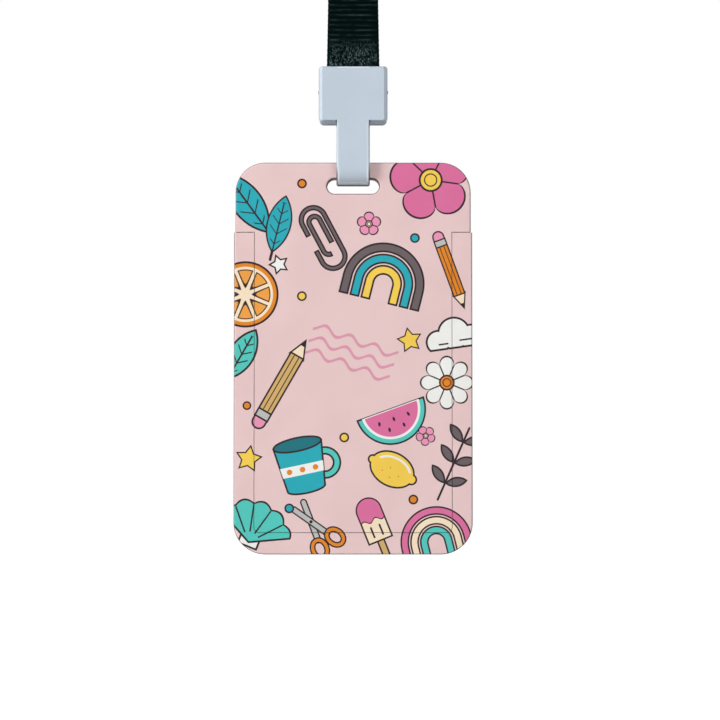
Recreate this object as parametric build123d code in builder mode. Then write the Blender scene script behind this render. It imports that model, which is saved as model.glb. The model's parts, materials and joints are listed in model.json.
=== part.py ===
from build123d import *
import os

# A slide-open card case. It hangs by the slot in its head from a T-shaped lanyard clip, and
# the clip hangs on a flat neck strap whose spare length is folded into a tied hank.
# Millimetres, +Z up, the front faces -Y. The origin is the hang point: the axis of the peg
# that the hank's top bend goes over.

os.makedirs("parts", exist_ok=True)

# ---- the card and the room it needs ----
card_width = 54.0
card_length = 85.6
card_thickness = 0.76
cards_held = 2
card_play = 0.6  # spare width and length of the pocket
card_slack = 0.13  # spare depth of the pocket

# ---- the case ----
slide_clearance = 0.15  # between the tray and the shell, all round
seam_gap = 0.2  # between the tray's head and the shell's top edge
tray_border = 5.1  # beside the pocket
tray_end = 3.4  # below the pocket
tray_floor = 0.9
side_wall = 1.2
bottom_wall = 1.5
front_rim = 1.05
back_plate = 1.1
rim_width = 5.7  # what the shell shows beside the tray's front panel
rim_end_width = 6.1
head_height = 19.75
head_inset = 0.4  # the head is this much narrower than the shell, on each side
top_corner_radius = 8.5
bottom_corner_radius = 9.0
panel_corner_radius = 1.5
edge_round = 0.5
slot_edge_round = 0.6
slot_length = 14.75
slot_height = 4.25
bar_height = 4.6  # the bar between the slot and the head's top edge
window_overlap = 3.2  # how far the back window's rim reaches over the card
window_corner_radius = 4.0
window_bevel = 0.5
slide_travel = 65.0

# ---- the neck strap and its hank ----
strap_width = 15.0
strap_thickness = 2.2  # two plies of webbing
hank_bend_radius = 9.0  # of the outermost bend, which goes over the peg
hank_bottom_bend_radius = 6.0
hank_run = 94.0  # from the peg's axis down to the axis of the bottom bend
hank_waist = 11.5  # how deep the four runs are where the tie pulls them together
hank_waist_slope = 11.0  # how long each run takes to reach the waist
hank_waist_round = 8.0
tie_drop = 47.0  # from the peg's axis down to the middle of the tie
tie_height = 7.0
tie_thickness = 1.0
tie_gap = 0.1
tie_margin = 3.5  # the waist is straight this far past the tie
strap_exposed = 24.6  # between the clip and the hank
strap_in_clip = 11.5  # how far the strap reaches down inside the clip's head

# ---- the clip ----
clip_width = 19.5
clip_height = 16.15
clip_depth = 7.0
clip_wall = 1.5
clip_side_wall = 1.5
clip_low_radius = 1.5
clip_high_radius = 1.0
clip_face_radius = 0.5
clip_bevel = 1.0
clip_low_bevel = 0.75
clip_top_bevel = 0.35
clip_back_bevel = 0.6
strap_play = 0.15
stem_width = 9.45
stem_bevel = 0.4
hook_thickness = 1.15
loop_room = 1.0  # between the hook and the bar's front and back faces
hook_play = 0.05  # between the hook's curl and the bar's lower edges as the case turns
hook_length = 11.12  # from the head's lower edge down to the case's top edge
hook_tip_rise = 3.0  # the hook's tip ends this far above the case's top edge
gate_thickness = 1.3
gate_clearance = 0.1
gate_width = 8.6
gate_way_width = 9.0
gate_room = 0.7  # ahead of the strap's back face, for the gate as it swings in
gate_lift = 0.35  # from the head's floor up to the gate's wide part
gate_knuckle_radius = 1.3
gate_drop = 19.2  # from the pin's axis down to the gate's end
gate_jog_drop = 15.1
pin_radius = 0.5
pin_proud = 0.2
pin_drop = 6.8  # from the head's top edge down to the pin's axis
running_clearance = 0.06
pin_seat = 0.01
cover_gap = 0.35
cover_side_gap = 0.1
tooth_pitch = 1.4
tooth_depth = 0.5

# ---- levels and places that follow from the sizes ----
case_width = card_width + card_play + 2 * (tray_border + slide_clearance + side_wall)
pocket_length = card_length + card_play
pocket_width = card_width + card_play
case_height = head_height + pocket_length + tray_end + slide_clearance + bottom_wall
pocket_depth = cards_held * card_thickness + card_slack
case_depth = front_rim + slide_clearance + tray_floor + pocket_depth + slide_clearance + back_plate

bar_half_depth, bar_half_height = case_depth / 2, bar_height / 2
loop_radius = bar_half_depth + loop_room
hook_outer_radius = loop_radius + hook_thickness
# the bar's lower edges ride just inside the curl, so the curl's axis lies above them
edge_reach = loop_radius - hook_play - slot_edge_round
edge_rise = (edge_reach**2 - (bar_half_depth - slot_edge_round) ** 2) ** 0.5

strap_y = -hank_bend_radius
hank_bottom_z = -hank_run - hank_bottom_bend_radius - strap_thickness / 2
clip_top_z = hank_bottom_z - strap_exposed
clip_bottom_z = clip_top_z - clip_height
pin_z = clip_top_z - pin_drop
case_top_z = clip_bottom_z - hook_length
case_bottom_z = case_top_z - case_height
bar_z = case_top_z - bar_half_height
seam_z = case_top_z - head_height
pocket_bottom_z = seam_z - pocket_length
shell_top_z = seam_z - seam_gap

clip_front_y = strap_y - strap_thickness / 2 - strap_play - clip_wall
clip_back_y = clip_front_y + clip_depth
strap_back_y = strap_y + strap_thickness / 2
case_y = clip_front_y + hook_outer_radius
case_front_y = case_y - case_depth / 2
case_back_y = case_y + case_depth / 2
curl_z = bar_z - bar_half_height + slot_edge_round + edge_rise
hook_bottom_z = curl_z - hook_outer_radius
pin_y = clip_back_y - gate_knuckle_radius - gate_clearance
floor_back_y = strap_back_y - gate_room
gate_wide_z = clip_bottom_z + clip_wall + gate_lift
hook_tip_z = case_top_z + hook_tip_rise
gate_tip_back_y = clip_front_y + 2 * hook_outer_radius - hook_thickness - gate_clearance
gate_tip_z = pin_z - gate_drop
gate_jog_z = pin_z - gate_jog_drop
cover_front_y = strap_back_y + strap_play + tooth_depth
cover_bottom_z = pin_z + gate_knuckle_radius + cover_gap
tooth_count = int((clip_top_z - cover_bottom_z) / tooth_pitch)
hank_front_y = strap_y - strap_thickness / 2
waist_back_y = hank_front_y + hank_waist
waist_half = tie_height / 2 + tie_margin
bottom_bend_outside = hank_bottom_bend_radius + strap_thickness / 2
cavity_front_y = case_front_y + front_rim
cavity_back_y = case_back_y - back_plate
tray_front_y = cavity_front_y + slide_clearance
tray_back_y = cavity_back_y - slide_clearance
cavity_half_width = case_width / 2 - side_wall
cavity_bottom_z = case_bottom_z + bottom_wall
tray_half_width = cavity_half_width - slide_clearance
tray_bottom_z = cavity_bottom_z + slide_clearance
panel_half_width = case_width / 2 - rim_width - slide_clearance
panel_bottom_z = case_bottom_z + rim_end_width + slide_clearance
tray_corner_radius = bottom_corner_radius - side_wall - slide_clearance
slot_z = case_top_z - bar_height - slot_height / 2
window_bottom_z = pocket_bottom_z + window_overlap


def front_plane(y):
    """A sketch plane that faces the viewer at depth y; sketch x is X and sketch y is Z."""
    return Plane.XZ.offset(-y)


def plate(sketch, half_width, low_z, high_z, low_radius=0.0, high_radius=0.0):
    """Draw a rectangle in the open sketch, with its lower and upper corners rounded."""
    with Locations((0, (low_z + high_z) / 2)):
        Rectangle(2 * half_width, high_z - low_z)
    if low_radius:
        fillet(sketch.vertices().group_by(Axis.Y)[0], low_radius)
    if high_radius:
        fillet(sketch.vertices().group_by(Axis.Y)[-1], high_radius)


def slot_edges(solid):
    """The slot's edges on the front and back faces."""
    chosen = ShapeList()
    for face in (solid.faces().sort_by(Axis.Y)[0], solid.faces().sort_by(Axis.Y)[-1]):
        for wire in face.inner_wires():
            chosen += wire.edges()
    return chosen


def window_edges(solid):
    """The window's edges on the back face."""
    return solid.faces().sort_by(Axis.Y)[-1].inner_wires()[0].edges()


def rim_edges(solid, clear_z, above):
    """The front and back outline edges of a case half on one side of its seam, at clear_z."""
    chosen = ShapeList()
    for face in (solid.faces().sort_by(Axis.Y)[0], solid.faces().sort_by(Axis.Y)[-1]):
        for edge in face.outer_wire().edges():
            height = edge.center().Z
            if above == (height > clear_z) and abs(height - clear_z) > seam_gap / 2:
                chosen.append(edge)
    return chosen


def outer_edges(solid):
    """The long edges round the outside of the hook, on both its sides."""
    chosen = ShapeList()
    for side in (solid.faces().sort_by(Axis.X)[0], solid.faces().sort_by(Axis.X)[-1]):
        edges = side.edges()
        chosen += [edges.sort_by(Axis.Y)[0], edges.sort_by(Axis.Y)[-1], edges.sort_by(Axis.Z)[0]]
    return chosen


# ---- card tray: the slotted head and the tongue that carries the card ----
with BuildPart() as card_tray:
    with BuildSketch(front_plane(case_back_y)) as head_face:
        plate(head_face, case_width / 2 - head_inset, seam_z, case_top_z, 0, top_corner_radius)
    extrude(amount=case_depth)
    fillet(rim_edges(card_tray.part, seam_z, True), edge_round)
    with BuildSketch(front_plane(case_back_y)):
        with Locations((0, slot_z)):
            SlotOverall(slot_length, slot_height)
    extrude(amount=case_depth, mode=Mode.SUBTRACT)
    fillet(slot_edges(card_tray.part), slot_edge_round)
    with BuildSketch(front_plane(tray_back_y)) as tongue_face:
        plate(tongue_face, tray_half_width, tray_bottom_z, seam_z, tray_corner_radius)
    extrude(amount=tray_back_y - tray_front_y)
    with BuildSketch(front_plane(tray_front_y)) as panel_face:
        plate(panel_face, panel_half_width, panel_bottom_z, seam_z, panel_corner_radius)
    extrude(amount=tray_front_y - case_front_y)
    with BuildSketch(front_plane(tray_back_y)) as pocket_face:
        plate(pocket_face, pocket_width / 2, pocket_bottom_z, seam_z)
    extrude(amount=pocket_depth, mode=Mode.SUBTRACT)
card_tray.part.label = "card_tray"
export_step(card_tray.part, "parts/card_tray.step")

# ---- case shell: the sleeve that slides up over the tray ----
with BuildPart() as case_shell:
    with BuildSketch(front_plane(case_back_y)) as shell_face:
        plate(shell_face, case_width / 2, case_bottom_z, shell_top_z, bottom_corner_radius)
    extrude(amount=case_depth)
    fillet(rim_edges(case_shell.part, shell_top_z, False), edge_round)
    with BuildSketch(front_plane(cavity_back_y)) as cavity_face:
        plate(
            cavity_face,
            cavity_half_width,
            cavity_bottom_z,
            shell_top_z,
            bottom_corner_radius - side_wall,
        )
    extrude(amount=cavity_back_y - cavity_front_y, mode=Mode.SUBTRACT)
    with BuildSketch(front_plane(cavity_front_y)) as panel_gap_face:
        plate(
            panel_gap_face,
            panel_half_width + slide_clearance,
            panel_bottom_z - slide_clearance,
            shell_top_z,
            panel_corner_radius + slide_clearance,
        )
    extrude(amount=front_rim, mode=Mode.SUBTRACT)
    with BuildSketch(front_plane(case_back_y)) as window_face:
        plate(
            window_face,
            card_width / 2 - window_overlap,
            window_bottom_z,
            seam_z - window_overlap,
            window_corner_radius,
            window_corner_radius,
        )
    extrude(amount=back_plate, mode=Mode.SUBTRACT)
    chamfer(window_edges(case_shell.part), window_bevel)
case_shell.part.label = "case_shell"
export_step(case_shell.part, "parts/case_shell.step")

# ---- the stem and the hook, drawn from the side ----
with BuildPart() as hook:
    with BuildSketch(Plane.YZ) as hook_side:
        with BuildLine():
            stem_top = clip_bottom_z + clip_wall
            back_y = clip_front_y + 2 * hook_outer_radius
            Polyline(
                (clip_front_y, curl_z),
                (clip_front_y, stem_top),
                (clip_front_y + hook_thickness, stem_top),
                (clip_front_y + hook_thickness, curl_z),
            )
            ThreePointArc(
                (clip_front_y + hook_thickness, curl_z),
                (case_y, curl_z - loop_radius),
                (back_y - hook_thickness, curl_z),
            )
            Polyline(
                (back_y - hook_thickness, curl_z),
                (back_y - hook_thickness, hook_tip_z),
                (back_y, hook_tip_z),
                (back_y, curl_z),
            )
            ThreePointArc((back_y, curl_z), (case_y, hook_bottom_z), (clip_front_y, curl_z))
        make_face()
    extrude(amount=stem_width / 2, both=True)
    chamfer(outer_edges(hook.part), stem_bevel)

# ---- clip body: the head, the stem and the hook in one moulding ----
with BuildPart() as clip_body:
    with BuildSketch(front_plane(clip_back_y)) as clip_outline:
        plate(
            clip_outline,
            clip_width / 2,
            clip_bottom_z,
            clip_top_z,
            clip_low_radius,
            clip_high_radius,
        )
    extrude(amount=clip_depth - clip_bevel)
    chamfer(clip_body.faces().sort_by(Axis.Y)[-1].outer_wire().edges(), clip_back_bevel)
    # the bevels round the front, narrow along the top
    with BuildSketch(front_plane(clip_front_y + clip_bevel)) as bevel_foot:
        plate(
            bevel_foot,
            clip_width / 2,
            clip_bottom_z,
            clip_top_z,
            clip_low_radius,
            clip_high_radius,
        )
    with BuildSketch(front_plane(clip_front_y)) as clip_face:
        plate(
            clip_face,
            clip_width / 2 - clip_bevel,
            clip_bottom_z + clip_low_bevel,
            clip_top_z - clip_top_bevel,
            clip_face_radius,
            clip_face_radius,
        )
    loft(ruled=True)
    add(hook.part)
    # the hollow for the strap's end, open at the top and the back
    with BuildSketch(front_plane(clip_back_y)) as hollow_face:
        plate(
            hollow_face,
            clip_width / 2 - clip_side_wall,
            clip_bottom_z + clip_wall,
            clip_top_z,
        )
    extrude(amount=clip_depth - clip_wall, mode=Mode.SUBTRACT)
    # the way through the floor for the gate
    with BuildSketch(front_plane(clip_back_y)) as gate_way:
        plate(gate_way, gate_way_width / 2, clip_bottom_z, clip_bottom_z + clip_wall)
    extrude(amount=clip_back_y - floor_back_y, mode=Mode.SUBTRACT)
    with BuildSketch(Plane.YZ.offset(-clip_width / 2)):
        with Locations((pin_y, pin_z)):
            Circle(pin_radius + pin_seat)
    extrude(amount=clip_width, mode=Mode.SUBTRACT)
clip_body.part.label = "clip_body"
export_step(clip_body.part, "parts/clip_body.step")

# ---- back cover: closes the head's upper half and clamps the strap with its teeth ----
with BuildPart() as clip_back_cover:
    with BuildSketch(Plane.YZ):
        with BuildLine():
            tooth_roots = [(cover_front_y, cover_bottom_z)]
            for tooth in range(tooth_count):
                low = cover_bottom_z + tooth * tooth_pitch
                tooth_roots += [
                    (cover_front_y - tooth_depth, low + tooth_pitch / 2),
                    (cover_front_y, low + tooth_pitch),
                ]
            Polyline(
                *tooth_roots,
                (cover_front_y, clip_top_z),
                (clip_back_y, clip_top_z),
                (clip_back_y, cover_bottom_z),
                (cover_front_y, cover_bottom_z),
            )
        make_face()
    extrude(amount=clip_width / 2 - clip_side_wall - cover_side_gap, both=True)
clip_back_cover.part.label = "clip_back_cover"
export_step(clip_back_cover.part, "parts/clip_back_cover.step")

# ---- gate: turns on the pin and closes the hook ----
with BuildPart() as clip_gate:
    with BuildSketch(Plane.YZ):
        with Locations((pin_y, pin_z)):
            Circle(gate_knuckle_radius)
        with BuildLine():
            Polyline(
                (clip_back_y - gate_thickness, pin_z),
                (clip_back_y, pin_z),
                (clip_back_y, gate_wide_z),
                (clip_back_y - gate_thickness, gate_wide_z),
                (clip_back_y - gate_thickness, pin_z),
            )
        make_face()
    extrude(amount=clip_width / 2 - clip_side_wall - gate_clearance, both=True)
    with BuildSketch(Plane.YZ):
        with BuildLine():
            Polyline(
                (clip_back_y - gate_thickness, clip_bottom_z),
                (clip_back_y - gate_thickness, gate_wide_z),
                (clip_back_y, gate_wide_z),
                (clip_back_y, clip_bottom_z),
                (gate_tip_back_y, gate_jog_z),
                (gate_tip_back_y, gate_tip_z),
                (gate_tip_back_y - gate_thickness, gate_tip_z),
                (gate_tip_back_y - gate_thickness, gate_jog_z),
                (clip_back_y - gate_thickness, clip_bottom_z),
            )
        make_face()
    extrude(amount=gate_width / 2, both=True)
    with BuildSketch(Plane.YZ.offset(-clip_width / 2)):
        with Locations((pin_y, pin_z)):
            Circle(pin_radius + running_clearance)
    extrude(amount=clip_width, mode=Mode.SUBTRACT)
clip_gate.part.label = "clip_gate"
export_step(clip_gate.part, "parts/clip_gate.step")

# ---- gate pin: pressed through the head, its ends just proud ----
with BuildPart() as gate_pin:
    with BuildSketch(Plane.YZ.offset(-clip_width / 2 - pin_proud)):
        with Locations((pin_y, pin_z)):
            Circle(pin_radius)
    extrude(amount=clip_width + 2 * pin_proud)
    chamfer(gate_pin.edges().filter_by(GeomType.CIRCLE), pin_proud / 2)
gate_pin.part.label = "gate_pin"
export_step(gate_pin.part, "parts/gate_pin.step")

# ---- neck strap: the doubled webbing from the clip up to the hank ----
with BuildPart() as neck_strap:
    with BuildSketch(Plane.XY.offset(clip_top_z - strap_in_clip)):
        with Locations((0, strap_y)):
            Rectangle(strap_width, strap_thickness)
    extrude(amount=hank_bottom_z - clip_top_z + strap_in_clip)
neck_strap.part.label = "neck_strap"
export_step(neck_strap.part, "parts/neck_strap.step")

# ---- hank: the spare strap in four runs, the front one hanging straight ----
with BuildPart() as strap_hank:
    with BuildSketch(Plane.YZ) as hank_side:
        with BuildLine():
            Line((hank_front_y, -hank_run), (hank_front_y, 0))
            ThreePointArc((hank_front_y, 0), (0, -hank_front_y), (-hank_front_y, 0))
            FilletPolyline(
                (-hank_front_y, 0),
                (-hank_front_y, -tie_drop + waist_half + hank_waist_slope),
                (waist_back_y, -tie_drop + waist_half),
                (waist_back_y, -tie_drop - waist_half),
                (-hank_front_y, -tie_drop - waist_half - hank_waist_slope),
                (-hank_front_y, -hank_run),
                radius=hank_waist_round,
            )
            RadiusArc(
                (-hank_front_y, -hank_run),
                (-hank_front_y - bottom_bend_outside, hank_bottom_z),
                bottom_bend_outside,
            )
            Polyline(
                (-hank_front_y - bottom_bend_outside, hank_bottom_z),
                (hank_front_y, hank_bottom_z),
                (hank_front_y, -hank_run),
            )
        make_face()
    extrude(amount=strap_width / 2, both=True)
strap_hank.part.label = "strap_hank"
export_step(strap_hank.part, "parts/strap_hank.step")

# ---- tie: an elastic band round the hank's waist ----
with BuildPart() as hank_tie:
    with BuildSketch(Plane.XY.offset(-tie_drop - tie_height / 2)):
        with Locations((0, (hank_front_y + waist_back_y) / 2)):
            RectangleRounded(
                strap_width + 2 * (tie_gap + tie_thickness),
                hank_waist + 2 * (tie_gap + tie_thickness),
                tie_thickness,
            )
            Rectangle(strap_width + 2 * tie_gap, hank_waist + 2 * tie_gap, mode=Mode.SUBTRACT)
    extrude(amount=tie_height)
hank_tie.part.label = "hank_tie"
export_step(hank_tie.part, "parts/hank_tie.step")

print(f"case {case_width:.2f} x {case_height:.2f} x {case_depth:.2f}")
print(f"bends of the strap: {hank_bend_radius}, {hank_bottom_bend_radius}")
print(f"clip front y {clip_front_y:.3f}, case centre y {case_y:.3f}, case top z {case_top_z:.3f}")
print(f"curl axis z {curl_z:.3f}, hook bottom z {hook_bottom_z:.3f}, pin ({pin_y:.3f}, {pin_z:.3f})")
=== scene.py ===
# %% [markdown]
# # A printed card case on a lanyard
# A flat plastic case for an identity card hangs from a T-shaped plastic clip, and the clip hangs
# on a black webbing strap. The construction comes ready made and in place. This file gives each
# piece its surface, weaves the soft strap, and sets up a plain studio round it all.

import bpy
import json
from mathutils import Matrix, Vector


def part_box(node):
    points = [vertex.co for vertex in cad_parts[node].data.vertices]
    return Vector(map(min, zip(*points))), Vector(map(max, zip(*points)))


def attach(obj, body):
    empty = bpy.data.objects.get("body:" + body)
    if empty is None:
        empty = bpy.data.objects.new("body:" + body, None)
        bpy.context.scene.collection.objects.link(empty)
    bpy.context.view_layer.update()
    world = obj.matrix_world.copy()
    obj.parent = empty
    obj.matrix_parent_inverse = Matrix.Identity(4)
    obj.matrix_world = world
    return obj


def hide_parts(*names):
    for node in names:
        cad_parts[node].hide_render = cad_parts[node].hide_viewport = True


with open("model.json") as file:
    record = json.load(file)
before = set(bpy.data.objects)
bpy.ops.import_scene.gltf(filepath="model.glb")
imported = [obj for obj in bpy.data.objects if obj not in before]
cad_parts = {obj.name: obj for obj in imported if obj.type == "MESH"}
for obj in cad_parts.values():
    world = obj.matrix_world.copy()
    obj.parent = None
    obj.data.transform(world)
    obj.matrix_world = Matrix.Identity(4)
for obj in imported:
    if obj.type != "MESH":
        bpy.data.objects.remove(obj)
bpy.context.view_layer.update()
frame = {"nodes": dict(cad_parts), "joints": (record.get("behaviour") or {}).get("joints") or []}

# %% Libraries
import json
import math

import bmesh
import bpy
from mathutils import Vector

MM = 0.001
nodes = frame["nodes"]
print("construction pieces:", ", ".join(nodes))

# %% [markdown]
# ## Places
# Everything below is placed from the construction's own boxes, so that nothing has to be fitted
# by eye: the middle of the case, the top of the clip, and the pin that the gate turns on.

# %% Read the boxes
tray_low, tray_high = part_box("card_tray")
shell_low, shell_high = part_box("case_shell")
clip_low, clip_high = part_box("clip_body")
hank_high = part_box("strap_hank")[1]
tie_low, tie_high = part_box("hank_tie")
case_top = tray_high.z
case_bottom = shell_low.z
case_middle = (case_top + case_bottom) / 2
swing = next(joint for joint in frame["joints"] if joint["name"] == "case_swing")
curl_axis = Vector(swing["pos_m"])
print(f"case {(shell_high.x - shell_low.x) / MM:.1f} x {(case_top - case_bottom) / MM:.1f} mm")

# %% [markdown]
# ## Camera
# A flat thing like this is shown square on, from a little below its middle. A long lens from
# well over half a metre keeps the sides of the case nearly parallel. A short lens close up
# would make the bottom of the case swell, and would look up into the clip.

# %% Camera
def add_object(name, data):
    """Puts a camera, a mesh or a lamp into the scene."""
    made = bpy.data.objects.new(name, data)
    bpy.context.scene.collection.objects.link(made)
    return made


VIEW_WIDTH = 203.6 * MM  # what the frame takes in at the case's front
DISTANCE = 700 * MM
ELEVATION = math.radians(-2.5)
LENS = 80.0
aim = Vector((1.95 * MM, shell_low.y, case_middle - 0.6 * MM))
camera_data = bpy.data.cameras.new("studio_camera")
camera_data.lens = LENS
camera_data.sensor_width = LENS * VIEW_WIDTH / DISTANCE
camera = add_object("studio_camera", camera_data)
back = Vector((0, -math.cos(ELEVATION), math.sin(ELEVATION)))
camera.location = aim + DISTANCE * back
camera.rotation_euler = (-back).to_track_quat("-Z", "Y").to_euler()
bpy.context.scene.camera = camera
print("camera at", [round(v, 3) for v in camera.location])


# %% [markdown]
# ## Helpers for node graphs
# A print, a weave or a moulded grain is arithmetic on a point of the surface. Each step of it is
# one node. Typing out every node by hand would bury the idea, so a small class makes a node,
# fills its inputs with numbers or links, and hands back its output.

# %% A small node writer
class Graph:
    """Writes nodes into one node tree, in the order in which they are worked out."""

    def __init__(self, tree):
        self.tree = tree

    def node(self, kind, inputs=(), **settings):
        made = self.tree.nodes.new(kind)
        for name, value in settings.items():
            setattr(made, name, value)
        for key, value in dict(inputs).items() if isinstance(inputs, dict) else enumerate(inputs):
            self.feed(made.inputs[key], value)
        return made

    def feed(self, socket, value):
        if isinstance(value, bpy.types.NodeSocket):
            self.tree.links.new(value, socket)
        elif value is not None:
            socket.default_value = value

    def math(self, operation, *values, clamp=False):
        return self.node("ShaderNodeMath", values, operation=operation, use_clamp=clamp).outputs[0]

    def chain(self, operation, *values):
        """One operation carried through several values, from the first to the last."""
        result = values[0]
        for value in values[1:]:
            result = self.math(operation, result, value)
        return result

    def product(self, *values):
        """Where all of several masks hold."""
        return self.chain("MULTIPLY", *values)

    def highest(self, *values):
        """Where any of several masks holds."""
        return self.chain("MAXIMUM", *values)

    def flip(self, value):
        return self.math("MULTIPLY", value, -1.0)

    def within(self, value, half, middle=0.0):
        """Negative where a value lies within half a width of the middle, and positive outside."""
        moved = self.math("SUBTRACT", value, middle) if middle else value
        return self.math("SUBTRACT", self.math("ABSOLUTE", moved), half)

    def noise(self, point, scale, detail=3.0, **more):
        made = self.node("ShaderNodeTexNoise", {"Vector": point, "Scale": scale, "Detail": detail, **more})
        return made.outputs["Fac"]

    def ridges(self, turns):
        """Rounded ridges, one for each whole turn, 0 in the grooves and 1 on the crests."""
        return self.math("ABSOLUTE", self.math("SINE", self.math("MULTIPLY", turns, math.pi)))

    def vector(self, operation, *values):
        made = self.node("ShaderNodeVectorMath", values, operation=operation)
        scalar = operation in ("LENGTH", "DOT_PRODUCT", "DISTANCE")
        return made.outputs["Value" if scalar else "Vector"]

    def turn(self, point, degrees):
        """The point turned about z."""
        spun = {"Vector": point, "Angle": math.radians(degrees)}
        return self.node("ShaderNodeVectorRotate", spun, rotation_type="Z_AXIS").outputs[0]

    def split(self, point):
        """The three coordinates of a point, one output each."""
        return self.node("ShaderNodeSeparateXYZ", (point,)).outputs

    def join(self, x, y, z=0.0):
        return self.node("ShaderNodeCombineXYZ", (x, y, z)).outputs[0]

    def length(self, x, y):
        return self.vector("LENGTH", self.join(x, y))

    def mix(self, factor, first, second, blend="MIX"):
        made = self.node("ShaderNodeMix", data_type="RGBA", blend_type=blend)
        self.feed(made.inputs[0], factor)
        self.feed(made.inputs[6], first)
        self.feed(made.inputs[7], second)
        return made.outputs[2]

    def smooth(self, value, low, high, start=0.0, end=1.0):
        made = self.node("ShaderNodeMapRange", (value, low, high, start, end))
        made.interpolation_type = "SMOOTHSTEP"
        return made.outputs[0]

    def where(self, *steps):
        """A mask that holds where all of several steps do, each given as smooth takes it."""
        return self.product(*(self.smooth(*step) for step in steps))

    def group(self, tree, inputs=None):
        made = self.node("ShaderNodeGroup", node_tree=tree)
        for name, value in (inputs or {}).items():
            self.feed(made.inputs[name], value)
        return made


print("node writer ready")


# %% A helper for shared groups
KINDS = {
    "vector": "NodeSocketVector",
    "value": "NodeSocketFloat",
    "colour": "NodeSocketColor",
}


def new_group(name, inputs, outputs):
    """An empty shader node group with named sockets, as (graph, its inputs, its output node)."""
    tree = bpy.data.node_groups.new(name, "ShaderNodeTree")
    for label, kind, default in inputs:
        socket = tree.interface.new_socket(label, in_out="INPUT", socket_type=KINDS[kind])
        if default is not None:
            socket.default_value = default
    for label, kind in outputs:
        tree.interface.new_socket(label, in_out="OUTPUT", socket_type=KINDS[kind])
    entry = tree.nodes.new("NodeGroupInput")
    leave = tree.nodes.new("NodeGroupOutput")
    return Graph(tree), entry.outputs, leave


def srgb(red, green, blue):
    """A paint colour given as 0 to 255, as the linear colour that a shader works with."""
    linear = [
        v / 12.92 if v <= 0.04045 else ((v + 0.055) / 1.055) ** 2.4
        for v in (red / 255, green / 255, blue / 255)
    ]
    return (*linear, 1.0)


def new_material(name, constants=()):
    """A material with only a Principled shader, as (material, graph, shader)."""
    material = bpy.data.materials.new(name)
    material.use_nodes = True
    material.node_tree.nodes.clear()
    graph = Graph(material.node_tree)
    shader = graph.node("ShaderNodeBsdfPrincipled", constants)
    output = graph.node("ShaderNodeOutputMaterial")
    graph.tree.links.new(shader.outputs[0], output.inputs[0])
    return material, graph, shader


print("kinds of group socket:", ", ".join(KINDS))

# %% [markdown]
# ## The print
# The front of such a case carries a tossed print: small drawings scattered at odd angles on a
# flat ground, each with an even dark outline. It could be an image, but an image fixes its own
# sharpness. Here each drawing is worked out from distances instead. A distance that is negative
# inside a shape gives its fill, and the narrow band where it is near zero gives its outline, so
# the lines stay crisp at any size. Each drawing is a node group that takes a point in
# millimetres from its own middle, and gives back a colour and how much it covers.

# %% Inks
LINE = 0.24  # half the width of an outline, in millimetres
EDGE = 0.05  # how softly an ink edge ends
INK = srgb(44, 32, 36)
TEAL = srgb(43, 168, 182)
MINT = srgb(84, 200, 188)
HOT_PINK = srgb(219, 112, 158)
ROSE = srgb(233, 150, 182)
DUSTY_ROSE = srgb(222, 150, 172)
TAN = srgb(209, 172, 108)
ORANGE = srgb(224, 134, 40)
YELLOW = srgb(244, 206, 84)
WHITE = srgb(240, 240, 236)
CREAM = srgb(246, 226, 196)
GREY = srgb(104, 94, 96)
PALE_GREY = srgb(188, 190, 186)
GROUND = srgb(231, 201, 200)
# the bare plastic of the sides and the back, made deeper than the ground as painted shade
SHADED_BARE_PINK = srgb(206, 172, 172)
# painted shade: the dark band just behind the print round every edge, and the slot's walls
PAINTED_EDGE_SHADE = srgb(120, 98, 102)
print("the ground's linear colour:", [round(v, 3) for v in GROUND[:3]])


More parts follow.
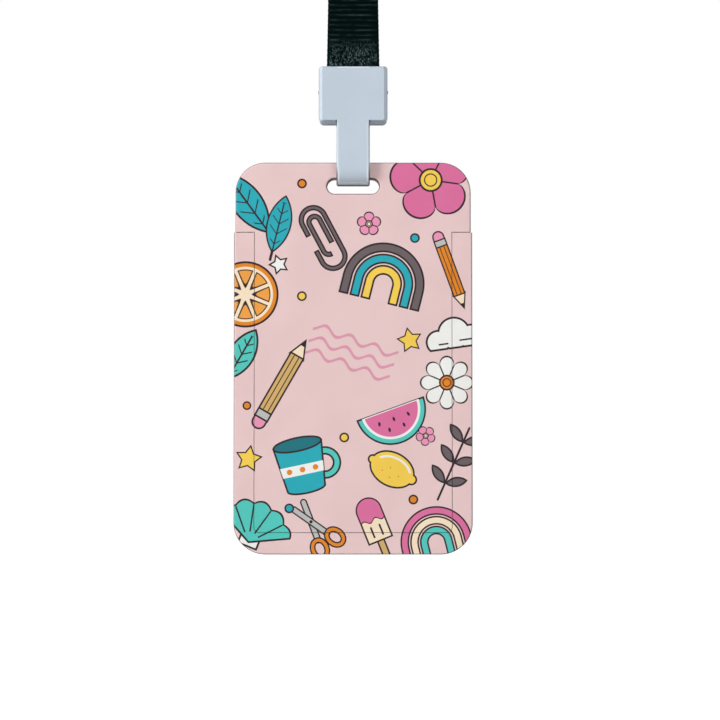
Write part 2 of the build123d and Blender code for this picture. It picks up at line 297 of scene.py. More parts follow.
# %% A pen for drawing with distances
class Pen(Graph):
    """Draws one motif into a node group: shapes as distances, then fills and outlines."""

    def __init__(self, name):
        graph, entry, self.leave = new_group(
            name, [("Point", "vector", None)], [("Colour", "colour"), ("Cover", "value")]
        )
        super().__init__(graph.tree)
        self.point = entry["Point"]
        self.x, self.y, _ = self.split(self.point)
        self.colour, self.cover = INK, 0.0

    def disc(self, x, y, radius):
        return self.math("SUBTRACT", self.vector("DISTANCE", self.point, (x, y, 0)), radius)

    def oval(self, x, y, wide, high, turn=0.0):
        turned = self.turn(self.vector("SUBTRACT", self.point, (x, y, 0)), -turn)
        scaled = self.vector("MULTIPLY", turned, (1 / wide, 1 / high, 0))
        steep = self.vector("LENGTH", self.vector("MULTIPLY", scaled, (1 / wide, 1 / high, 0)))
        reach = self.vector("LENGTH", scaled)
        past = self.math("SUBTRACT", reach, 1.0)
        return self.math("DIVIDE", self.math("MULTIPLY", reach, past), steep)

    def bar(self, start, end, radius):
        """A straight stroke with round ends."""
        run = Vector(end) - Vector(start)
        moved = self.vector("SUBTRACT", self.point, (*start, 0))
        along = self.vector("DOT_PRODUCT", moved, (*(run / run.length_squared), 0))
        share = self.math("ADD", along, 0.0, clamp=True)
        foot = self.node("ShaderNodeVectorMath", (None, None), operation="SCALE")
        foot.inputs[0].default_value = (*run, 0)
        self.feed(foot.inputs["Scale"], share)
        return self.math("SUBTRACT", self.vector("DISTANCE", moved, foot.outputs[0]), radius)

    def box(self, x, y, wide, high):
        """A rectangle from its middle and half sizes."""
        return self.both(self.within(self.x, wide, x), self.within(self.y, high, y))

    def up_to(self, value, limit):
        """Inside where the value is less than the limit."""
        return self.math("SUBTRACT", value, limit)

    def beyond(self, value, limit):
        """Inside where the value is more than the limit."""
        return self.math("SUBTRACT", limit, value)

    def lobes(self, count):
        """How near each point is to the middle of one of count equal sectors, 0 to 1."""
        angle = self.math("ARCTAN2", self.x, self.y)
        return self.math("ABSOLUTE", self.math("COSINE", self.math("MULTIPLY", angle, count / 2)))

    def spokes(self, count):
        """The distance to the nearest of the rays between count sectors."""
        reach = self.math("MULTIPLY", self.vector("LENGTH", self.point), 2 / count)
        return self.math("MULTIPLY", reach, self.lobes(count))

    def both(self, *distances):
        """What several shapes share."""
        return self.chain("MAXIMUM", *distances)

    def either(self, *distances):
        """Several shapes as one."""
        return self.chain("MINIMUM", *distances)

    def fill(self, distance, colour):
        """Ink without an outline, inside the distance."""
        inside = self.smooth(distance, EDGE, -EDGE)
        self.colour = self.mix(inside, self.colour, colour)
        self.cover = self.math("MAXIMUM", self.cover, inside)

    def stroke(self, distance, colour=INK, half=LINE):
        """A line along where the distance is zero."""
        self.fill(self.within(distance, half), colour)

    def paint(self, distance, colour):
        """Ink with an outline."""
        self.fill(distance, colour)
        self.stroke(distance)


def drawing(draw):
    """Hands a new pen to a function that draws, and gives back the finished node group."""

    def make(name, *details):
        pen = Pen(name)
        draw(pen, *details)
        pen.feed(pen.leave.inputs["Colour"], pen.colour)
        pen.feed(pen.leave.inputs["Cover"], pen.cover)
        print(f"{name}: {len(pen.tree.nodes)} nodes")
        return pen.tree

    return make


print("the pen can draw:", ", ".join(name for name in vars(Pen) if not name.startswith("_")))

# %% [markdown]
# ### Flowers and leaves
# A flower's edge is a circle whose radius swells once for each petal, which the cosine of the
# angle gives. A leaf is the overlap of two big circles. Folding the point across the leaf's
# middle makes one circle do for both.

# %% Flowers
@drawing
def draw_blossom(pen, petals, radius, petal_ink, heart_ink):
    swell = pen.math("POWER", pen.lobes(petals), 0.55)
    reach = pen.math("MULTIPLY_ADD", swell, 0.36 * radius, 0.64 * radius)
    edge = pen.up_to(pen.vector("LENGTH", pen.point), reach)
    pen.paint(edge, petal_ink)
    pen.fill(pen.both(pen.up_to(pen.spokes(petals), 0.8 * LINE), pen.up_to(edge, -0.1)), INK)
    pen.paint(pen.disc(0, 0, 0.27 * radius), heart_ink)
    pen.stroke(pen.disc(0, 0, 0.15 * radius), half=0.6 * LINE)


pink_blossom = draw_blossom("draw_pink_blossom", 5, 9.6, HOT_PINK, YELLOW)
white_daisy = draw_blossom("draw_white_daisy", 8, 7.4, WHITE, ORANGE)
small_blossom = draw_blossom("draw_small_blossom", 5, 4.2, ROSE, CREAM)


# %% Leaves
def leaf_edge(pen, x, y, half_length, half_width):
    """The distance to a pointed leaf that lies along y, from its own x and y."""
    centre = (half_length**2 - half_width**2) / (2 * half_width)
    folded = pen.math("ADD", pen.math("ABSOLUTE", x), centre)
    return pen.up_to(pen.length(folded, y), centre + half_width)


@drawing
def draw_leaf(pen, half_length, half_width, ink):
    pen.fill(pen.bar((0, -half_length - 2.4), (0, -half_length + 1), 1.7 * LINE), INK)
    edge = leaf_edge(pen, pen.x, pen.y, half_length, half_width)
    pen.paint(edge, ink)
    pen.fill(pen.bar((0, -half_length), (0, 0.7 * half_length), 0.9 * LINE), INK)
    pitch = 0.36 * half_length
    slanted = pen.math("MULTIPLY_ADD", pen.math("ABSOLUTE", pen.x), -0.9, pen.y)
    wrapped = pen.math("PINGPONG", slanted, pitch / 2)
    pen.fill(pen.both(pen.up_to(wrapped, 0.8 * LINE), pen.up_to(edge, -0.9)), INK)


teal_leaf = draw_leaf("draw_teal_leaf", 8.6, 3.5, TEAL)
mint_leaf = draw_leaf("draw_mint_leaf", 6.6, 2.9, MINT)


# %% A sprig
@drawing
def draw_sprig(pen, half_length, pitch, ink):
    """A stem with pairs of small leaves. One pair is drawn, and the point is wrapped along y."""
    pen.fill(pen.bar((0, -half_length - 3), (0, half_length), 1.2 * LINE), INK)
    wrapped = pen.math("WRAP", pen.y, pitch / 2, -pitch / 2)
    side = pen.join(pen.math("ABSOLUTE", pen.x), wrapped)
    moved = pen.vector("SUBTRACT", side, (0.44 * pitch, 0.06 * pitch, 0))
    along_leaf = pen.split(pen.turn(moved, 58))
    edge = leaf_edge(pen, along_leaf[0], along_leaf[1], 0.46 * pitch, 0.19 * pitch)
    ends = pen.within(pen.y, half_length)
    pen.fill(pen.both(edge, ends), ink)
    pen.fill(pen.both(pen.within(edge, LINE), ends), INK)


dark_sprig = draw_sprig("draw_dark_sprig", 9.0, 6.0, GREY)


# %% [markdown]
# ### Fruit and sweets
# A slice of citrus and a melon wedge are circles inside circles, cut by rays. A lemon is an oval
# with two small bumps, and an ice lolly is two thick strokes.

# %% Citrus slice
@drawing
def draw_slice(pen, radius, peel_ink, flesh_ink):
    pen.paint(pen.disc(0, 0, radius), peel_ink)
    pen.fill(pen.disc(0, 0, 0.86 * radius), CREAM)
    segments = pen.both(pen.disc(0, 0, 0.76 * radius), pen.beyond(pen.spokes(8), 0.5))
    pen.fill(segments, flesh_ink)
    pen.stroke(segments, half=0.55 * LINE)


orange_slice = draw_slice("draw_orange_slice", 7.6, ORANGE, srgb(238, 160, 72))


# %% Melon wedge
@drawing
def draw_wedge(pen, radius):
    pen.paint(pen.both(pen.disc(0, 0, radius), pen.y), MINT)
    pen.fill(pen.both(pen.disc(0, 0, 0.86 * radius), pen.y), WHITE)
    pen.fill(pen.both(pen.disc(0, 0, 0.79 * radius), pen.up_to(pen.y, -LINE)), HOT_PINK)
    seeds = ((-0.44, -0.3), (0.0, -0.3), (0.44, -0.3), (-0.22, -0.55), (0.22, -0.55))
    for across, up in seeds:
        pen.fill(pen.oval(across * radius, up * radius, 0.34, 0.62, 30 * across), INK)


melon_wedge = draw_wedge("draw_melon_wedge", 9.4)


# %% Lemon
@drawing
def draw_lemon(pen):
    body = pen.either(pen.oval(0, 0, 6.2, 4.5), pen.disc(5.9, 0, 1.3), pen.disc(-5.9, 0, 1.1))
    pen.paint(body, YELLOW)
    shine = pen.both(pen.math("ABSOLUTE", pen.oval(0.2, 0, 4.9, 3.2)), pen.beyond(pen.y, 1.6))
    pen.fill(pen.up_to(shine, 1.2 * LINE), WHITE)
    for place in ((-2.2, -1.4), (0.4, -2.2), (2.4, -0.9), (-0.6, 0.2)):
        pen.fill(pen.disc(*place, 0.2), ORANGE)


lemon = draw_lemon("draw_lemon")


# %% Ice lolly
@drawing
def draw_lolly(pen, top_ink, low_ink):
    pen.paint(pen.bar((0, -9.5), (0, -4), 0.95), TAN)
    body = pen.either(pen.bar((0, -1), (0, 4.2), 3.5), pen.box(0, -2.9, 3.5, 1.9))
    pen.paint(body, low_ink)
    wave = pen.math("SINE", pen.math("MULTIPLY", pen.x, 1.8))
    dipped = pen.both(body, pen.beyond(pen.y, pen.math("MULTIPLY_ADD", wave, 0.5, 1.2)))
    pen.fill(dipped, top_ink)
    pen.stroke(dipped, half=0.7 * LINE)
    for side in (-1.3, 1.3):
        pen.fill(pen.bar((side, -3.4), (side, -0.6), 1.1 * LINE), INK)


pink_lolly = draw_lolly("draw_pink_lolly", HOT_PINK, CREAM)


# %% [markdown]
# ### Things from a desk and a holiday
# A cup, a pencil, a paper clip, scissors, a rainbow, a cloud, a star and a scallop shell finish
# the set. Each is a few of the same simple shapes laid over each other, back to front. Three
# wavy strokes, only a shade deeper than the ground, calm the middle of the print.

# %% Cup
@drawing
def draw_cup(pen, ink, handle_ink):
    pen.paint(pen.within(pen.disc(6.0, -0.4, 3.1), 0.85), handle_ink)
    walls = pen.within(pen.x, pen.math("MULTIPLY_ADD", pen.y, 0.12, 5.6))
    body = pen.both(walls, pen.beyond(pen.y, -5.8), pen.up_to(pen.y, 5.6))
    pen.paint(pen.either(body, pen.oval(0, -5.8, 4.9, 1.3)), ink)
    pen.paint(pen.oval(0, 5.6, 6.2, 1.7), srgb(32, 112, 122))
    pen.fill(pen.both(walls, pen.within(pen.y, 1.3, middle=-1.0)), WHITE)
    for place in (-3.4, 0.0, 3.4):
        pen.fill(pen.disc(place, -1.0, 0.7), ORANGE)


teal_cup = draw_cup("draw_teal_cup", TEAL, MINT)


# %% Pencil
@drawing
def draw_pencil(pen, ink):
    pen.paint(pen.bar((-11.6, 0), (-9, 0), 1.8), ROSE)
    pen.paint(pen.box(-9.4, 0, 1.1, 1.9), PALE_GREY)
    cone = pen.math("MULTIPLY_ADD", pen.x, 0.42, -13.6 * 0.42)
    tip = pen.math("ADD", pen.math("ABSOLUTE", pen.y), cone)
    pen.paint(pen.both(pen.beyond(pen.x, 8.6), tip), CREAM)
    pen.fill(pen.both(pen.beyond(pen.x, 11.9), tip), INK)
    pen.paint(pen.box(0.3, 0, 8.6, 1.9), ink)
    rails = pen.within(pen.within(pen.y, 0.7), 0.6 * LINE)
    pen.fill(pen.both(pen.box(0.3, 0, 8.3, 1.9), rails), INK)


tan_pencil = draw_pencil("draw_tan_pencil", TAN)
orange_pencil = draw_pencil("draw_orange_pencil", ORANGE)


# %% Paper clip
@drawing
def draw_paper_clip(pen, ink):
    """One wire in two long loops, one inside the other."""
    outer = pen.within(pen.bar((0, -6.2), (0, 6.2), 3.6), 0.6)
    inner = pen.within(pen.bar((0, -3.6), (0, 5.4), 1.7), 0.6)
    open_side = pen.both(pen.x, pen.within(pen.y, 2.6))
    open_end = pen.both(pen.flip(pen.x), pen.up_to(pen.y, -2.2))
    pen.paint(pen.both(outer, pen.flip(open_side)), ink)
    pen.paint(pen.both(inner, pen.flip(open_end)), ink)


grey_paper_clip = draw_paper_clip("draw_grey_paper_clip", GREY)


# %% Scissors
@drawing
def draw_scissors(pen, blade_ink, handle_ink):
    for side in (-1, 1):
        pen.paint(pen.bar((1.9 * side, -3.6), (-2.0 * side, 9.2), 0.95), blade_ink)
        pen.paint(pen.within(pen.oval(3.2 * side, -6.3, 2.3, 3.0, 14 * side), 0.75), handle_ink)
    pen.fill(pen.disc(0, 2.6, 0.55), INK)


orange_scissors = draw_scissors("draw_orange_scissors", PALE_GREY, ORANGE)


# %% Waves
@drawing
def draw_waves(pen, half_length, pitch, ink):
    """Three wavy strokes with no outline, only a shade deeper than the ground."""
    wave = pen.math("SINE", pen.math("MULTIPLY", pen.x, 0.85))
    level = pen.math("MULTIPLY_ADD", wave, 1.0, pen.y)
    row = pen.math("WRAP", level, pitch / 2, -pitch / 2)
    inside = pen.both(pen.within(pen.x, half_length), pen.within(level, 1.5 * pitch))
    pen.fill(pen.both(pen.within(row, 0.42), inside), ink)


rose_waves = draw_waves("draw_rose_waves", 12.5, 3.6, DUSTY_ROSE)


# %% Rainbow
@drawing
def draw_rainbow(pen, inks):
    radius = pen.length(pen.x, pen.math("MAXIMUM", pen.y, 0.0))
    for step, ink in enumerate(inks):
        arch = pen.within(radius, 1.05, middle=9.4 - 2.9 * step)
        pen.paint(pen.both(arch, pen.beyond(pen.y, -4.6)), ink)


rainbow = draw_rainbow("draw_rainbow", (GREY, TEAL, YELLOW))
small_rainbow = draw_rainbow("draw_small_rainbow", (HOT_PINK, CREAM, MINT))


# %% Cloud
@drawing
def draw_cloud(pen):
    puffs = pen.either(pen.disc(-3.8, -0.4, 2.7), pen.disc(0.2, 1.2, 3.7), pen.disc(4.1, -0.2, 2.9))
    pen.paint(pen.both(puffs, pen.beyond(pen.y, -2.2)), WHITE)
    pen.fill(pen.bar((-3.6, -1.0), (-1.6, -1.0), 0.8 * LINE), INK)
    pen.fill(pen.bar((1.4, -0.6), (4.2, -0.6), 0.8 * LINE), INK)


cloud = draw_cloud("draw_cloud")


# %% Star
@drawing
def draw_star(pen, radius, ink):
    angle = pen.math("ARCTAN2", pen.x, pen.y)
    folded = pen.math("PINGPONG", angle, math.radians(36))
    reach = pen.vector("LENGTH", pen.point)
    along = pen.math("MULTIPLY", reach, pen.math("COSINE", folded))
    across = pen.math("MULTIPLY", reach, pen.math("SINE", folded))
    slope = pen.math("MULTIPLY", across, 0.88)
    pen.paint(pen.math("MULTIPLY_ADD", pen.up_to(along, radius), 0.48, slope), ink)


yellow_star = draw_star("draw_yellow_star", 4.6, YELLOW)
white_star = draw_star("draw_white_star", 3.0, WHITE)


# %% Scallop shell
@drawing
def draw_shell(pen, radius, ink):
    swell = pen.math("MULTIPLY_ADD", pen.lobes(13), 0.09 * radius, 0.91 * radius)
    edge = pen.up_to(pen.vector("LENGTH", pen.point), swell)
    sides = pen.math("MULTIPLY_ADD", pen.math("ABSOLUTE", pen.x), 0.45, pen.math("MULTIPLY", pen.y, -0.89))
    fan = pen.both(edge, sides)
    pen.paint(pen.box(0, 0.2, 2.4, 1.2), WHITE)
    pen.paint(fan, ink)
    rays = pen.up_to(pen.spokes(13), 0.8 * LINE)
    pen.fill(pen.both(rays, pen.up_to(fan, -0.3), pen.flip(pen.disc(0, 0, 2.6))), INK)


mint_shell = draw_shell("draw_mint_shell", 10.5, MINT)


# %% Beads
@drawing
def draw_bead(pen, ink):
    pen.paint(pen.disc(0, 0, 1.15), ink)


yellow_bead = draw_bead("draw_yellow_bead", YELLOW)
orange_bead = draw_bead("draw_orange_bead", ORANGE)
teal_bead = draw_bead("draw_teal_bead", TEAL)
print("drawings in the set:", sum(tree.name.startswith("draw_") for tree in bpy.data.node_groups))


# %% [markdown]
# ### Scattering the drawings
# A tossed print looks random but is laid out one by one: big drawings first, well apart and at
# different angles, some running off the edge, then small ones in the gaps. Each row below is a
# drawing, where its middle lies in millimetres from the middle of the case's top edge, how far
# it is turned, and its size.

# %% The layout
LAYOUT = (
    (rose_waves, -0.5, -54, -20, 1.0),
    (teal_leaf, -30, -11.5, 36, 1.2),
    (teal_leaf, -21, -17.5, -14, 0.95),
    (pink_blossom, 22, -5, 10, 1.2),
    (grey_paper_clip, -8.5, -21.5, 28, 0.95),
    (orange_slice, -30.5, -37.5, 0, 1.2),
    (rainbow, 8.5, -34.5, -14, 1.1),
    (orange_pencil, 27.5, -30.5, -70, 0.85),
    (cloud, 28.5, -50, 8, 1.2),
    (tan_pencil, -20.5, -63, 60, 1.05),
    (white_daisy, 26.5, -62.5, 0, 1.0),
    (melon_wedge, 10.5, -70, 20, 1.05),
    (mint_leaf, -31.5, -54.5, -30, 1.2),
    (teal_cup, -14.5, -86, 12, 1.1),
    (lemon, 11, -87, -28, 1.05),
    (dark_sprig, 29, -84, -24, 1.05),
    (mint_shell, -29.5, -107.5, -22, 1.15),
    (orange_scissors, -10.5, -103.5, 38, 0.85),
    (pink_lolly, 6, -102.5, 22, 1.0),
    (small_rainbow, 23.5, -107.5, 14, 0.95),
    (small_blossom, 4.5, -17.5, 0, 0.8),
    (yellow_star, 16, -50.5, 12, 0.75),
    (white_star, -21, -29, 20, 0.9),
    (yellow_star, -29.5, -84, -10, 0.8),
    (small_blossom, 20.5, -77.5, 30, 0.65),
    (yellow_bead, -14.5, -38, 0, 1.0),
    (orange_bead, -14.5, -6, 0, 1.0),
    (teal_bead, 17.5, -21.5, 0, 1.0),
    (orange_bead, 17, -95.5, 0, 1.0),
    (teal_bead, -18, -98, 0, 1.0),
    (yellow_bead, -2.5, -78, 0, 1.0),
    (orange_bead, -30, -69, 0, 0.9),
)
print("drawings to lay:", len(LAYOUT))

# %% Lay the print
def lay_print():
    """One group that puts every drawing of the layout on the ground colour."""
    graph, entry, leave = new_group(
        "tossed_print",
        [("Point", "vector", None), ("Ground", "colour", GROUND)],
        [("Colour", "colour")],
    )
    colour = entry["Ground"]
    for tree, x, y, turn, size in LAYOUT:
        turned = graph.turn(graph.vector("SUBTRACT", entry["Point"], (x, y, 0)), -turn)
        scaled = graph.vector("MULTIPLY", turned, (1 / size, 1 / size, 0))
        drawing = graph.group(tree, {"Point": scaled})
        colour = graph.mix(drawing.outputs["Cover"], colour, drawing.outputs["Colour"])
    graph.feed(leave.inputs["Colour"], colour)
    return graph.tree


tossed_print = lay_print()
print("tossed print:", len(tossed_print.nodes), "nodes")

# %% [markdown]
# ## Plastics
# The case and the clip are both moulded. A mould leaves a very fine grain, a faint unevenness of
# tone where the plastic flowed, and a roughness that is never quite even. Both plastics share
# one group for this, and each sets its own sizes.

# %% The surface that a mould leaves
def make_moulded_surface():
    graph, entry, leave = new_group(
        "moulded_surface",
        [
            ("Point", "vector", None),
            ("Colour", "colour", (0.8, 0.8, 0.8, 1)),
            ("Shade", "colour", (0.7, 0.7, 0.7, 1)),
            ("Roughness", "value", 0.4),
            ("Grain", "value", 2.0),
        ],
        [("Colour", "colour"), ("Roughness", "value"), ("Height", "value")],
    )
    flow = graph.noise(entry["Point"], 0.055)
    tone = graph.smooth(flow, 0.38, 0.66)
    graph.feed(leave.inputs["Colour"], graph.mix(tone, entry["Colour"], entry["Shade"]))
    grain = graph.noise(entry["Point"], entry["Grain"], 4.0, Roughness=0.6)
    graph.feed(leave.inputs["Height"], grain)
    spread = graph.math("MULTIPLY_ADD", grain, 0.12, -0.06)
    graph.feed(leave.inputs["Roughness"], graph.math("ADD", entry["Roughness"], spread))
    return graph.tree


moulded_surface = make_moulded_surface()
print("moulded surface:", len(moulded_surface.nodes), "nodes")


# %% Points in millimetres
def millimetres(graph, origin=(0.0, 0.0, 0.0)):
    """The surface point in the piece's own frame, in millimetres from an origin in metres."""
    place = graph.node("ShaderNodeTexCoord").outputs["Object"]
    moved = graph.vector("SUBTRACT", place, origin)
    return graph.vector("MULTIPLY", moved, (1 / MM, 1 / MM, 1 / MM))


def grain_bump(graph, shader, height, strength, depth):
    """Dents the surface by a height, as deep as depth millimetres."""
    dents = {"Strength": strength, "Distance": depth * MM, "Height": height}
    graph.feed(shader.inputs["Normal"], graph.node("ShaderNodeBump", dents).outputs[0])


print("the print's origin in millimetres:", [0, round(tray_low.y / MM, 2), round(case_top / MM, 2)])

# %% [markdown]
# ### The case
# The print lies only on the front, as a thin film that is moulded in. It is one print across the
# tray and the sleeve, cut by the seam between them, so both pieces read it from the same origin:
# the middle of the case's top edge. The sides and the back are bare pink plastic, a tone deeper
# than the print's ground, which paints shade on them. Just behind the film a band of darker ink
# runs round every edge, and the walls of the slot carry it almost to the back: both are painted
# shade, which draws the case's dark outline. The walls are matt, because a glossy wall seen at a
# flat angle mirrors the white studio and the case would lose its outline.

# %% Case material
CASE_DEPTH = (tray_high.y - tray_low.y) / MM
FILM_DEPTH = 0.1  # these four are in millimetres
SLOT_DROP = 6.7  # from the case's top edge down to the slot's middle
SLOT_SHADE_HALF_WIDTH = 8.8  # of the place round the slot whose walls get painted shade, and the next is its half height
SLOT_SHADE_HALF_HEIGHT = 3.0


def make_case_plastic():
    material, graph, shader = new_material("printed_case_plastic", {"Specular IOR Level": 0.2})
    place = millimetres(graph, (0, tray_low.y, case_top))
    across, behind, level = graph.split(place)
    printed = graph.group(tossed_print, {"Point": graph.join(across, level), "Ground": GROUND})
    film = graph.smooth(behind, FILM_DEPTH + 0.04, FILM_DEPTH - 0.04)
    beside = graph.math("ABSOLUTE", across)
    from_slot = graph.math("ABSOLUTE", graph.math("ADD", level, SLOT_DROP))
    # The slot's walls and a band just behind the print at every edge get painted shade, a darker ink that
    # draws the case's dark outline.
    near_slot = graph.where(
        (beside, SLOT_SHADE_HALF_WIDTH + 0.2, SLOT_SHADE_HALF_WIDTH - 0.2),
        (from_slot, SLOT_SHADE_HALF_HEIGHT + 0.2, SLOT_SHADE_HALF_HEIGHT - 0.2),
    )
    edge_shade = graph.highest(near_slot, graph.smooth(behind, 0.6, 0.3))
    off_the_back = graph.smooth(behind, CASE_DEPTH - 0.05, CASE_DEPTH - 0.3)
    wall = graph.mix(graph.product(edge_shade, off_the_back), SHADED_BARE_PINK, PAINTED_EDGE_SHADE)
    colour = graph.mix(film, wall, printed.outputs["Colour"])
    surface = graph.group(
        moulded_surface,
        {
            "Point": place,
            "Colour": (1, 1, 1, 1),
            "Shade": (0.972, 0.955, 0.962, 1),
            "Roughness": 0.46,
            "Grain": 3.0,
        },
    )
    tinted = graph.mix(1.0, colour, surface.outputs["Colour"], blend="MULTIPLY")
    graph.feed(shader.inputs["Base Color"], tinted)
    matt = graph.smooth(film, 0.0, 1.0, 0.32, 0.0)
    graph.feed(shader.inputs["Roughness"], graph.math("ADD", surface.outputs["Roughness"], matt))
    grain_bump(graph, shader, surface.outputs["Height"], 0.25, 0.02)
    return material


case_plastic = make_case_plastic()
print("case material:", len(case_plastic.node_tree.nodes), "nodes")


# %% [markdown]
# ### The clip
# The clip is a stiffer grey-blue plastic with a satin skin. Its edges are broken, and light
# catches them, which is what makes it look moulded and not cut. The construction has the large
# bevels. A small one goes on every sharp edge here, with normals that keep the flat faces flat.
# The material also paints light and shade into the colour by place, from a point measured from
# the clip's top: shade lines at the foot of the bevels, highlight lines on the top edge, inside
# the stem's corners and low on the hook, shade under the head and the hook, and shadow in the
# corner under the head and where the hook goes into the slot.

# %% Places on the clip
HEAD_FLOOR = -16.15  # where the stem begins, in millimetres from the clip's top
LOW_BEVEL = 0.75  # the height of the bevel along the head's underside
SLOT_ZONE_START, SLOT_ZONE_END = -27.0, -31.0  # between these the marks painted near the slot grow to their full
STEM_HALF = 4.7  # about half the stem's width
STEM_BEVEL = 0.4
HOOK_BOTTOM = (clip_low.z - clip_high.z) / MM
CURL_RADIUS = (curl_axis.y - clip_low.y) / MM  # the curl's outer one
CURL_LEVEL = (curl_axis.z - clip_high.z) / MM


class ClipPlaces(Graph):
    """Where a point lies on the clip, in millimetres."""

    def __init__(self, tree, place):
        super().__init__(tree)
        across, self.behind, self.level = self.split(place)
        self.beside = self.math("ABSOLUTE", across)
        drop = self.math("MINIMUM", self.math("SUBTRACT", self.level, CURL_LEVEL), 0.0)
        inward = self.math("SUBTRACT", self.behind, CURL_RADIUS)
        # how deep the point lies under the outer skin of the stem and of the curl that follows it
        self.depth = self.math("SUBTRACT", CURL_RADIUS, self.length(inward, drop))
        self.on_head = self.smooth(self.level, HEAD_FLOOR - 0.2, HEAD_FLOOR)
        self.off_head = self.smooth(self.on_head, 1.0, 0.0)
        self.stem_corner = self.where(
            (self.beside, STEM_HALF - 0.25, STEM_HALF - 0.12), (self.behind, 0.9, 0.6)
        )


print(f"the hook's curl: {CURL_RADIUS:.2f} mm outside, {-CURL_LEVEL:.2f} mm below the clip's top")


# %% Painted light and shade on the clip
def shade_lines(clip):
    """Painted shade lines round the foot of the head's bevel, on its low bevel, and along the stem."""
    bevel_foot = clip.where((clip.behind, 0.74, 0.86), (clip.behind, 1.9, 1.4))
    low_bevel = clip.where(
        (clip.level, HEAD_FLOOR + LOW_BEVEL, HEAD_FLOOR + LOW_BEVEL - 0.15),
        (clip.beside, STEM_HALF - 0.1, STEM_HALF + 0.1),
    )
    on_head = clip.product(clip.on_head, clip.highest(bevel_foot, low_bevel))
    return clip.highest(on_head, clip.product(clip.off_head, clip.stem_corner, 0.7))


def highlight_lines(clip):
    """Painted highlight lines on the head's top edge, inside the stem's corners, and low on the hook."""
    top_edge = clip.smooth(clip.level, -0.62, -0.5)
    near_slot = clip.smooth(clip.level, SLOT_ZONE_START, SLOT_ZONE_END, 0.3, 1.0)
    inside_corner = clip.smooth(clip.beside, STEM_HALF - 0.9, STEM_HALF - 0.75)
    low_line = clip.where(
        (clip.level, HOOK_BOTTOM + 1.15, HOOK_BOTTOM + 0.75),
        (clip.level, HOOK_BOTTOM + 0.22, HOOK_BOTTOM + 0.3),
    )
    lines = clip.highest(clip.product(clip.off_head, near_slot, inside_corner), low_line, top_edge)
    return clip.product(lines, clip.smooth(clip.stem_corner, 1.0, 0.0))


def undersides(clip):
    """Painted shade on the floors of the head and the hook."""
    head_floor = clip.where(
        (clip.level, HEAD_FLOOR + 0.2, HEAD_FLOOR + 0.05), (clip.behind, 1.6, 6.4)
    )
    hook_floor = clip.smooth(clip.level, HOOK_BOTTOM + 0.3, HOOK_BOTTOM + 0.2)
    return clip.highest(clip.product(clip.on_head, head_floor), hook_floor)


def shadow_spots(clip):
    """Painted shadow in the corner under the head, and along the hook's sides where it goes into the slot."""
    crevice = clip.where(
        (clip.beside, STEM_HALF - 0.22, STEM_HALF - 0.12),
        (clip.beside, STEM_HALF + 0.3, STEM_HALF + 0.15),
        (clip.level, HEAD_FLOOR + LOW_BEVEL + 0.1, HEAD_FLOOR + LOW_BEVEL - 0.1),
        (clip.level, HEAD_FLOOR - 1.7, HEAD_FLOOR - 0.7),
        (clip.depth, 0.8, 0.5),
    )
    # painted shadow along the hook's sides where it goes into the slot
    slot_gap_shadow = clip.where(
        (clip.level, SLOT_ZONE_START - 0.5, SLOT_ZONE_END),
        (clip.beside, STEM_HALF - STEM_BEVEL, STEM_HALF - STEM_BEVEL + 0.12),
        (clip.behind, 5.6, 4.6),
        (clip.depth, 0.7, 0.45),
    )
    return clip.highest(crevice, slot_gap_shadow)


print(f"marks lie down to {-HOOK_BOTTOM:.1f} mm below the clip's top")


# %% Clip material
# painted shade for the lines at the foot of the bevels and along the stem
DULL_SHADE = srgb(164, 176, 188)
# painted shade on the floors of the head and the hook
UNDERSIDE_SHADE = srgb(134, 141, 149)
# painted shadow in the corner under the head and beside the hook at the slot
PAINTED_SHADOW = srgb(96, 102, 110)
# painted highlight on the top edge, inside the stem's corners and low on the hook
EDGE_HIGHLIGHT = srgb(226, 234, 240)


def make_clip_plastic(name, colour, shade):
    material, graph, shader = new_material(name, {"Specular IOR Level": 0.25})
    place = millimetres(graph, (0, clip_low.y, clip_high.z))
    surface = graph.group(
        moulded_surface,
        {"Point": place, "Colour": colour, "Shade": shade, "Roughness": 0.5, "Grain": 4.0},
    )
    clip = ClipPlaces(graph.tree, place)
    # The masks paint light and shade into the colour: shade lines, shade on the undersides, shadows and edge
    # highlights.
    edge_shade, under, painted_shadow = shade_lines(clip), undersides(clip), shadow_spots(clip)
    # painted highlight, left out where a shade line lies
    highlight = graph.product(highlight_lines(clip), graph.smooth(edge_shade, 1.0, 0.0))
    tone = surface.outputs["Colour"]
    for mask, ink in ((highlight, EDGE_HIGHLIGHT), (edge_shade, DULL_SHADE), (under, UNDERSIDE_SHADE), (painted_shadow, PAINTED_SHADOW)):
        tone = graph.mix(mask, tone, ink)
    graph.feed(shader.inputs["Base Color"], tone)
    shaded_places = graph.highest(edge_shade, under, painted_shadow)
    matt = graph.math("MULTIPLY_ADD", shaded_places, 0.35, surface.outputs["Roughness"])
    graph.feed(shader.inputs["Roughness"], matt)
    grain_bump(graph, shader, surface.outputs["Height"], 0.3, 0.02)
    return material


clip_plastic = make_clip_plastic("clip_plastic", srgb(194, 206, 219), srgb(190, 203, 214))
cover_plastic = make_clip_plastic("clip_inner_plastic", srgb(188, 200, 211), srgb(184, 196, 206))
print("clip material:", len(clip_plastic.node_tree.nodes), "nodes")


# %% Pin metal
def make_pin_steel():
    """Drawn steel wire: fine lines along the pin, which lies along x."""
    material, graph, shader = new_material("pin_steel", {"Metallic": 1.0})
    drawn = graph.noise(graph.vector("MULTIPLY", millimetres(graph), (0.08, 1, 1)), 6.0)
    graph.feed(shader.inputs["Base Color"], graph.mix(drawn, srgb(84, 88, 90), srgb(118, 122, 124)))
    graph.feed(shader.inputs["Roughness"], graph.smooth(drawn, 0.2, 0.8, 0.28, 0.42))
    return material


pin_steel = make_pin_steel()
print("pin material:", pin_steel.name)


